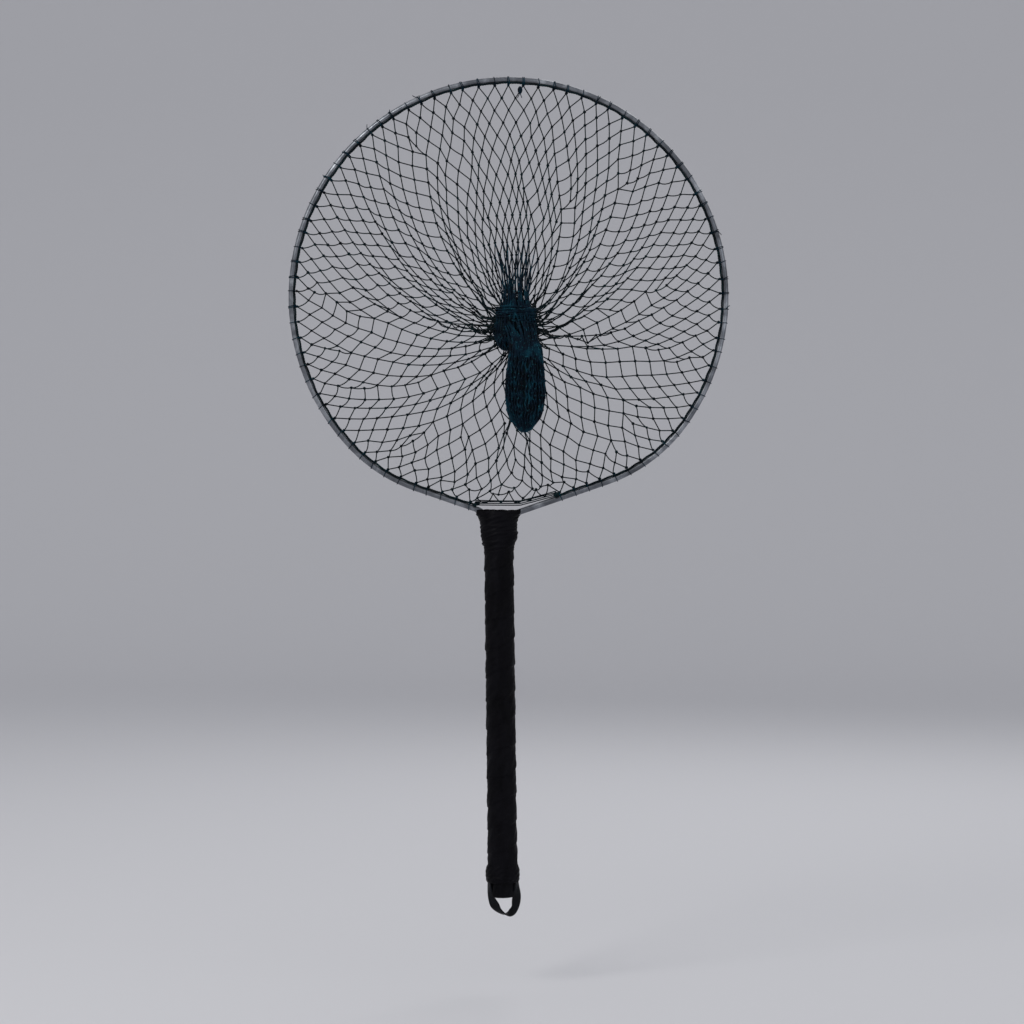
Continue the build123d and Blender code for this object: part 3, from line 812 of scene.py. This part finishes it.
def build_funnel():
    """Netting drawn together round the knot: from above it lies over the knot's top, under the turn."""
    sides, over = Soup(), Soup()
    t = np.linspace(0, 1, 16)[:, None]
    for spot in NET_PLACES[~NET_HIDDEN]:
        x, _, z = spot - KNOT_MIDDLE
        far = math.hypot(x, z)
        half = SHEAF_WIDEN * z + SHEAF_LEAST
        if SHEAF_LOW < z < SHEAF_HIGH and abs(x) < half:
            for _ in range(2 if z < SHEAF_DENSE else 1):
                share = (x / half + RNG.normal(0, 0.12)) * 0.9
                crown = ball_point(np.array([share]), np.array([1.05]), 2.0 * MM)[0]
                crown[2] += 6 * MM
                end = ball_point(np.array([share * 1.3]), np.array([0.45]), 1.0 * MM)[0]
                path = arch(spot, crown, end, t)
                path[:, 0] += 0.4 * MM * np.sin(t[:, 0] * 8 + share * 9) * (1 - t[:, 0])
                tubes(over, path, 0.62 * MM, 5, (0.1, 1, 0.2))
        elif SIDE_NEAR < far < SIDE_FAR and z > SIDE_LOW:
            turn = math.atan2(x, z) + RNG.normal(0, 0.05)
            end = ball_point(np.array([math.sin(turn) * 1.3]), np.array([0.75 * math.cos(turn)]))[0]
            bow = np.array([0, -3 * MM, 0]) * np.sin(t * math.pi)
            wave = np.array([z, 0, -x]) / far * 0.6 * MM * np.sin(t * TAU + RNG.uniform(-1, 1))
            tubes(sides, spot + (end - spot) * t + bow + wave * t, TWINE_R, 5, (0.1, 1, 0))
    return sides.object("gathered_netting", DARK_TWINE), over.object("gathered_over_knot", TEAL_TWINE)


def build_turn():
    """Turns of twine and netting drawn across the knot."""
    middle, half = box_middle("knot_turn")
    soup = Soup()
    t = full_turn(60)
    for i in range(11):
        level = (i / 10 - 0.5) * 2 * (half[2] - 0.6 * MM)
        lift = 0.8 * MM * math.cos((i / 10 - 0.5) * 3) - RNG.uniform(0, 1.6) * MM
        tilt = RNG.normal(0, 2.2) * MM
        ring = xyz(
            (half[0] - 2.0 * MM + lift) * np.cos(t),
            (half[1] - 1.6 * MM + lift) * np.sin(t),
            level + tilt * np.sin(t + i) + 0.35 * MM * np.sin(7 * t + i),
        )
        tubes(soup, middle + ring, 0.68 * MM, 5, (0, 0, 1), True)
    return soup.object("knot_turn_twine", TEAL_TWINE)


# The tail's outline: depth below the pivot, half width and half thickness
TAIL_DEPTHS = np.array([-5.5, -3.5, 0, 8, 28, 50, 64, 72, 78, 84]) * MM
TAIL_WIDE = np.array([4, 10.5, 14.5, 15.8, 17.9, 18.3, 17.0, 13.8, 8.6, 4.2]) * MM
TAIL_THICK = np.array([1.5, 4.0, 5.6, 6.0, 8.9, 9.8, 9.2, 7.6, 5.4, 2.0]) * MM
TAIL_PIVOT = np.array(frame["record"]["behaviour"]["joints"][1]["pos_m"])


def tail_point(turn, depth, lift=0.0):
    """A point on the tail's surface, turn from the front round to +X, depth below the pivot."""
    wide = np.interp(depth, TAIL_DEPTHS, TAIL_WIDE) + lift
    thick = np.interp(depth, TAIL_DEPTHS, TAIL_THICK) + lift
    folds = 1 + 0.035 * np.sin(5 * turn + 40 * depth) + 0.02 * np.sin(9 * turn - 110 * depth)
    return TAIL_PIVOT + xyz(wide * np.sin(turn) * folds, -thick * np.cos(turn) * folds, -depth)


def tail_out(places):
    """The level way out from the tail's middle line."""
    return (places - TAIL_PIVOT) * (1, 1, 0)


def build_tail():
    """The bag's end: netting closed up lengthwise, so its meshes lie as long narrow zigzags."""
    soup = Soup()
    depth = np.linspace(TAIL_DEPTHS[0] * 0.8, TAIL_DEPTHS[-1] * 0.985, 72)
    for layer, columns in ((-0.9 * MM, 36), (0.4 * MM, 30)):
        pitch = TAU / columns
        for i in range(columns):
            steps = depth / (RNG.uniform(11.0, 14.0) * MM) + (i % 2) * 0.5 + RNG.normal(0, 0.08)
            zigzag = np.abs((steps % 1.0) * 2 - 1) - 0.5
            drift = 0.04 * np.sin(45 * depth + 0.9 * i)
            path = tail_point(pitch * i + zigzag * pitch * 0.5 + drift, depth, layer)
            tubes(soup, path, 0.72 * MM, 6, unit(tail_out(path) + 1e-9)[None])
    for _ in range(130):
        turn, down = RNG.uniform(0, TAU), RNG.uniform(14, 78) * MM
        place = tail_point(np.array([turn]), np.array([down]), 0.7 * MM)
        knots(soup, place, np.array([[0.2, 0.1, 1.0]]), tail_out(place), RNG.uniform(0.75, 1.05))
    bottom = TAIL_PIVOT + np.array([-1.0 * MM, 0, -TAIL_DEPTHS[-1] + 2.2 * MM])
    lump(soup, bottom, (5.6 * MM, 3.0 * MM, 2.8 * MM), 16, 0.62 * MM, 5)
    for lean, length in ((-0.55, 7.0), (0.9, 6.0)):
        t = np.linspace(0, 1, 8)[:, None]
        end = bottom + np.array([lean, -0.1, -0.75]) * t * length * MM
        tubes(soup, end, 0.5 * MM, 5, (0, 1, 0))
    return soup.object("bag_tail_netting", TEAL_TWINE)


def build_tail_core():
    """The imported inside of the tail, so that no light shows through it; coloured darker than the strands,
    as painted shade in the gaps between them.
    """
    depth = np.linspace(TAIL_DEPTHS[0] * 0.7, TAIL_DEPTHS[-1] * 0.96, 30)[:, None]
    turn = full_turn(36)[None]
    return sheet("bag_tail_packing", tail_point(turn, depth, -1.9 * MM), GAP_SHADE_TWINE, depth, turn / TAU)


def build_neck():
    """Strands that come down the front of the knot and over into the tail."""
    soup = Soup()
    t = np.linspace(0, 1, 16)[:, None]
    for i in range(46):
        across = (i / 45 - 0.5) * 2 + RNG.normal(0, 0.03)
        lat = RNG.uniform(-0.25, 0.15)
        start = ball_point(np.array([across * 0.75 + 0.15]), np.array([lat]), 0.8 * MM)[0]
        over = TAIL_PIVOT + np.array([across * 13, -7.5 + 4 * across**2, 9.0 - 4 * across**2]) * MM
        side = np.array([math.asin(0.96 * float(np.clip(across, -1, 1)))])
        end = tail_point(side, np.array([RNG.uniform(1, 17) * MM]), 0.2 * MM)[0]
        path = arch(start, over, end, t)
        path[:, 0] += 0.35 * MM * np.sin(t[:, 0] * 9 + i)
        tubes(soup, path, 0.66 * MM, 5, (0, 1, 0.3))
    for i in range(22):
        across = (i / 21 - 0.5) * 2
        start = TAIL_PIVOT + np.array([across * 9 - 1.5, 12.5, 3.5 - 3 * across**2]) * MM
        end = TAIL_PIVOT + np.array([across * 11, 4.8, -4.0]) * MM
        path = start + (end - start) * t
        path[:, 0] += 0.4 * MM * np.sin(t[:, 0] * 9 + i)
        tubes(soup, path, 0.66 * MM, 5, (1, 0, 0))
    return soup.object("tail_neck_strands", TEAL_TWINE)


# ---- handle

COLLAR_MIDDLE = box_middle("collar_tape")[0]
HANDLE_DOWN = unit(box_middle("butt_cap")[0] - COLLAR_MIDDLE)
HANDLE_ACROSS = np.cross(np.array([0.0, -1.0, 0.0]), HANDLE_DOWN)
HANDLE_START = COLLAR_MIDDLE - HANDLE_DOWN * 17.3 * MM  # the top of the splice


def on_handle(turn, down, wide, thick):
    """A point round the handle, turn from the front round to the right."""
    return (
        HANDLE_START
        + HANDLE_ACROSS * (wide * np.sin(turn))[..., None]
        + np.array([0, -1.0, 0]) * (thick * np.cos(turn))[..., None]
        + HANDLE_DOWN * down[..., None]
    )


def smooth_noise(turn, down, seed, scale):
    """A soft wandering height from a few waves, closed round the handle."""
    rng = np.random.default_rng(seed)
    total = 0
    for _ in range(9):
        around, along = rng.integers(1, 9), rng.uniform(0.15, 1.0) * scale
        total = total + rng.normal() * np.sin(around * turn + along * down + rng.uniform(0, TAU))
    return total / 3


def skin(name, wide, thick, down, turn, material):
    """A sheet round the handle from grids of half width, half thickness, depth and turn."""
    return sheet(name, on_handle(turn, down, wide, thick), material, down, turn / TAU)


def grids(top, end, step, columns):
    """Depths and turns of a grid round the handle, from one depth to another in millimetres."""
    down = np.linspace(top, end, int((end - top) / step) + 1)[:, None]
    return np.broadcast_arrays(down * MM, full_turn(columns)[None])


def lap_profile(turn, down, pitch, lap):
    """Height of wound tape: it climbs along each turn and drops at the lap's edge."""
    phase = (down / (pitch * MM) + turn / TAU + 0.06 * np.sin(2 * turn + down * 90)) % 1.0
    edge = np.clip((1 - phase) / 0.05, 0, 1)
    return lap * MM * phase * edge, edge


def build_grip():
    """Tape wound down the grip, with lapped edges, wrinkles and a closer pitch near the butt."""
    down, turn = grids(36.5, 352.0, 0.8, 84)
    warped = down + 6 * MM * ((down - 0.2) / 0.15) ** 3 * (down > 0.2)
    laps, edge = lap_profile(turn, warped, 26.0, 0.85)
    wrinkle = smooth_noise(turn, down / MM, 21, 0.45) * 0.16 * MM
    fine = smooth_noise(turn * 2, down / MM, 22, 1.6) * 0.07 * MM
    pull = 0.22 * MM * np.sin(3 * turn + down * 420) * (1 - edge * 0.6)
    radius = 14.25 * MM + laps + wrinkle + fine + pull * 0.35
    swell = 0.35 * MM * np.exp(-(((down - 0.345) / 0.02) ** 2))
    return skin("grip_tape_wound", radius + swell, radius + swell, down, turn, TAPE)


# The collar's outline in millimetres: depth, half width and half thickness; and its ridges
COLLAR_DEPTHS = (-3.6, -1.0, 2, 7, 16, 24, 29, 34, 40)
COLLAR_WIDE = (22.9, 22.6, 20.6, 19.2, 18.4, 17.6, 16.6, 15.3, 15.1)
COLLAR_THICK = (14.4, 15.0, 15.4, 15.6, 15.6, 15.5, 15.3, 15.1, 15.0)
COLLAR_RIDGES = ((1.5, 0.7), (6.0, 0.45), (12.5, 0.6), (19.0, 0.8), (27.0, 0.45), (35.0, 0.5))
COLLAR_TOP, COLLAR_END = -4.4, 40.0


def build_collar():
    """Crumpled tape over the splice, folded in at the top and flared over the rod's bends."""
    down, turn = grids(COLLAR_TOP, COLLAR_END, 0.45, 120)
    wide = np.interp(down / MM, COLLAR_DEPTHS, COLLAR_WIDE) * MM
    thick = np.interp(down / MM, COLLAR_DEPTHS, COLLAR_THICK) * MM
    slant = down / MM + 2.2 * np.sin(turn + 0.6)
    ridges = 0.0
    for level, height in COLLAR_RIDGES:
        gap = slant - level - 0.9 * np.sin(2 * turn + level)
        ridges = ridges + height * np.exp(-((gap / 1.3) ** 2))
    crumple = smooth_noise(turn, down / MM, 31, 1.5) * 0.32
    crumple = crumple + smooth_noise(2 * turn, down / MM, 32, 2.6) * 0.16
    top = np.clip((3 - down / MM) / 7, 0, 1)
    puckers = top * (0.55 * np.sin(11 * turn + 1.4) + 0.35 * np.sin(17 * turn + down * 600))
    bump = 1.5 * np.exp(-(((down / MM - 21) / 5) ** 2)) * np.clip(np.sin(turn), 0, 1) ** 4
    lift = (ridges + crumple + puckers + bump - 0.5) * MM
    edge = (0.55 * np.sin(3 * turn + 0.4) + 0.4 * np.sin(8 * turn)) * MM
    outside = skin("collar_tape_outer", wide + lift, thick + lift, down + top * edge, turn, TAPE)
    inward, turn_in = np.broadcast_arrays(np.linspace(0, 1, 16)[:, None], full_turn(120)[None])
    rim_wide, rim_thick = (wide + lift)[0], (thick + lift)[0]
    shrink = 1 - 0.97 * inward
    dip = COLLAR_TOP + 3.6 * np.sin(inward * math.pi / 2) - 0.7 * np.exp(-((inward / 0.08) ** 2))
    creases = 0.8 * np.sin(7 * turn_in + 3 * inward) * inward * (1 - inward) * 3
    creases = creases + edge[0] / MM * (1 - inward)
    lid = skin("collar_tape_fold", rim_wide * shrink, rim_thick * shrink, (dip + creases) * MM, turn_in, TAPE)
    return outside, lid


BAND_DEPTHS = (349.5, 351, 355, 360, 365, 366.4, 367.2)
BAND_WIDE = (15.2, 15.9, 17.0, 16.9, 16.4, 15.9, 14.4)
BAND_THICK = (15.0, 15.3, 15.6, 15.6, 15.4, 15.1, 13.6)


def build_band():
    """Tape band that holds the strap's ends down, with rolled edges."""
    down, turn = grids(BAND_DEPTHS[0], BAND_DEPTHS[-1], 0.4, 110)
    level = down / MM
    wide = np.interp(level, BAND_DEPTHS, BAND_WIDE)
    thick = np.interp(level, BAND_DEPTHS, BAND_THICK)
    fold = 0.4 * np.exp(-(((level - 362 - 1.6 * np.sin(turn)) / 0.9) ** 2))
    crumple = smooth_noise(turn, level, 41, 1.4) * 0.2 + 0.14 * np.sin(15 * turn + level)
    lift = fold + crumple
    return skin("butt_band_tape", (wide + lift) * MM, (thick + lift) * MM, down, turn, TAPE)


def build_cap():
    """Dark end below the band, gathered in upright creases, with a rounded bottom."""
    t, turn = np.broadcast_arrays(np.linspace(0, 1, 60)[:, None], full_turn(96)[None])
    wall, full = 0.62, 13.2  # share of the rows on the upright wall, and the wall's radius
    side = np.clip(t / wall, 0, 1)
    under = np.clip((t - wall) / (1 - wall), 0, 1)
    radius = full * np.cos(under * math.pi / 2) ** 0.45 + 0.02
    level = 365.5 + 13.8 * side + 2.9 * np.sin(under * math.pi / 2)
    creases = 0.3 * np.sin(9 * turn + 0.6) ** 3 + 0.22 * np.sin(14 * turn + level * 0.2)
    crumple = smooth_noise(turn, level, 51, 0.7) * 0.16
    radius = (radius + (creases + crumple) * np.clip(radius / full, 0, 1)) * MM
    return skin("butt_cap_end", radius, radius, level * MM, turn, CAP)


# The strap's middle line: across, back and down the handle in millimetres, and degrees its face turns
STRAP_LINE = (
    (-13.3, -3.8, 354.0, -75),
    (-13.7, -4.2, 368.0, -72),
    (-12.6, -4.8, 378.0, -46),
    (-10.3, -3.6, 385.0, -20),
    (-7.6, -1.8, 390.5, -16),
    (-4.0, -0.4, 395.6, -42),
    (1.2, 0.6, 399.2, -76),
    (7.0, 0.2, 398.4, -128),
    (11.2, -0.8, 394.0, -166),
    (12.9, -2.6, 388.5, -182),
    (13.8, -4.6, 379.0, -208),
    (13.9, -4.6, 368.0, -246),
    (13.4, -3.8, 354.0, -255),
)


def smooth_line(keys, at):
    """Places on a smooth curve through the keys."""
    whole = np.clip(at.astype(int), 0, len(keys) - 2)
    part = (at - whole)[:, None]
    padded = np.vstack([keys[0] * 2 - keys[1], keys, keys[-1] * 2 - keys[-2]])
    a, b, c, d = (padded[whole + k] for k in range(4))
    bend = (2 * a - 5 * b + 4 * c - d) * part**2
    return 0.5 * (2 * b + (c - a) * part + bend + (3 * b - a - 3 * c + d) * part**3)


def build_strap():
    """Flat strap: two ends under the band and a loop that twists to show its face."""
    at = np.linspace(0, len(STRAP_LINE) - 1, 150)
    across, back, down, face = smooth_line(np.array(STRAP_LINE), at).T
    middle = (
        HANDLE_START
        + HANDLE_ACROSS * (across * MM)[:, None]
        + np.array([0, 1.0, 0]) * (back * MM)[:, None]
        + HANDLE_DOWN * (down * MM)[:, None]
    )
    along = unit(np.gradient(middle, axis=0))
    flat = unit(np.cross(along, [0.0, 1.0, 0.0]))
    away = np.cross(flat, along)
    turned = np.radians(face)[:, None]
    width = flat * np.cos(turned) + away * np.sin(turned)
    thick = np.cross(width, along)
    t = full_turn(24)
    u = np.sign(np.cos(t)) * np.abs(np.cos(t)) ** 0.55
    v = np.sign(np.sin(t)) * np.abs(np.sin(t)) ** 0.75
    ends = 0.92 + 0.1 * np.sin(at * 2.1)
    curl = 0.35 * MM * (u**2)[None] * np.sin(at * 1.3)[:, None]
    verts = (
        middle[:, None]
        + width[:, None] * (u[None] * 4.5 * MM * ends[:, None])[..., None]
        + thick[:, None] * (v[None] * 0.85 * MM + curl)[..., None]
    )
    return sheet("strap_band", verts, STRAP, at[:, None] * 0.008, (u / 2 + 0.5)[None])


# ---- the object


def paint(node, material):
    """Gives a CAD node its material."""
    obj = frame["nodes"][node]
    obj.data.materials.clear()
    obj.data.materials.append(material)
    obj.data.polygons.foreach_set("use_smooth", np.ones(len(obj.data.polygons), bool))


def put(obj, body, material_slot, *nodes):
    """Sets one piece on its body and hides the CAD nodes it stands for."""
    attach(obj, body)
    if nodes:
        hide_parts(*nodes)


paint("hoop_rod", ROD)
paint("handle_core", WOOD)
paint("splice_wire", STEEL)
paint("strap_tacks", STEEL)

quarters = build_netting()
put(quarters[0], "net", "dark_twine", "net_webbing")
for quarter in quarters[1:]:
    put(quarter, "net", "dark_twine")
gathered, over_knot = build_funnel()
put(gathered, "net", "dark_twine")
put(over_knot, "net", "teal_twine")
put(build_rim_line(), "net", "dark_twine", "rim_line")
put(build_throat(), "net", "dark_twine", "throat_strands")
put(build_lashings(), "net", "teal_twine", "rim_lashings")
top_tie, throat_ties = build_small_knots()
put(top_tie, "net", "teal_twine", "top_knot")
put(throat_ties, "net", "dark_twine", "throat_knots")
put(build_knot(), "net", "teal_twine", "gather_knot")
put(build_knot_core(), "net", "teal_twine")
put(build_turn(), "net", "teal_twine", "knot_turn")

neck = build_neck()
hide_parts("tail_neck")
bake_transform(neck)
tail = build_tail()
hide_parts("bag_tail")
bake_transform(tail)
tail_core = build_tail_core()
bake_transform(tail_core)

put(build_grip(), "net", "tape", "grip_tape")
collar, fold = build_collar()
put(collar, "net", "tape", "collar_tape")
put(fold, "net", "tape")
put(build_band(), "net", "tape", "butt_band")
put(build_cap(), "net", "cap_rubber", "butt_cap")
strap = build_strap()
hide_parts("strap_loop", "strap_legs")
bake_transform(strap)


# ---- stage


def build_floor(level):
    """A plain pale floor that sweeps up far behind."""
    half, front, depth, rise, bend, rows = 9.0, 8.0, 6.0, 5.0, 2.0, 40
    t = np.linspace(0, 1, rows)
    turn = np.clip((t - 0.5) / 0.25, 0, 1) * math.pi / 2
    flat = -front + (depth + front - bend) * t / 0.5
    y = np.where(t < 0.5, flat, depth - bend + bend * np.sin(turn))
    z = bend - bend * np.cos(turn) + np.clip(t - 0.75, 0, 1) / 0.25 * rise
    verts = [(x, y[i], level + z[i]) for i in range(rows) for x in (-half, half)]
    faces = np.array([(2 * i, 2 * i + 1, 2 * i + 3, 2 * i + 2) for i in range(rows - 1)])
    s = Shader("floor_paper", Base_Color=(0.62, 0.62, 0.64, 1), Roughness=0.9, Specular_IOR_Level=0.1)
    obj = mesh_object("floor", np.array(verts), faces, s.material)


def area_light(name, place, target, size, power, colour):
    data = bpy.data.lights.new(name, "AREA")
    data.shape, data.size, data.size_y = "RECTANGLE", size[0], size[1]
    data.energy, data.color = power, colour
    obj = bpy.data.objects.new(name, data)
    obj.location = place
    obj.rotation_mode = "QUATERNION"
    obj.rotation_quaternion = (Vector(target) - Vector(place)).to_track_quat("-Z", "Y")
    bpy.context.scene.collection.objects.link(obj)


build_floor(CAD_BOX[0][2] - 0.07)
area_light("key", (-1.5, -1.6, 1.3), (0, 0, -0.35), (1.3, 1.3), 26, (1.0, 0.985, 0.96))
area_light("fill", (1.9, -1.8, -0.1), (0, 0, -0.4), (1.8, 1.8), 8, (0.93, 0.96, 1.0))
area_light("rear", (0.7, 1.9, 1.2), (0, 0, -0.3), (1.6, 1.6), 14, (1.0, 1.0, 1.0))
world = bpy.data.worlds.new("studio")
bpy.context.scene.world = world
world.use_nodes = True
sky = world.node_tree.nodes["Background"].inputs
sky["Color"].default_value = (0.80, 0.81, 0.85, 1)
sky["Strength"].default_value = 0.74
bpy.context.scene.view_settings.view_transform = "Standard"

VIEW_WIDTH = 1.024  # metres across the picture at the hoop
camera_data = bpy.data.cameras.new("camera")
camera_data.lens, camera_data.sensor_width = 85, 36
camera = bpy.data.objects.new("camera", camera_data)
distance = VIEW_WIDTH * camera_data.lens / camera_data.sensor_width
camera.location = (0.0035, -distance, -0.429)
camera.rotation_euler = (math.pi / 2, 0, 0)
bpy.context.scene.collection.objects.link(camera)
bpy.context.scene.camera = camera
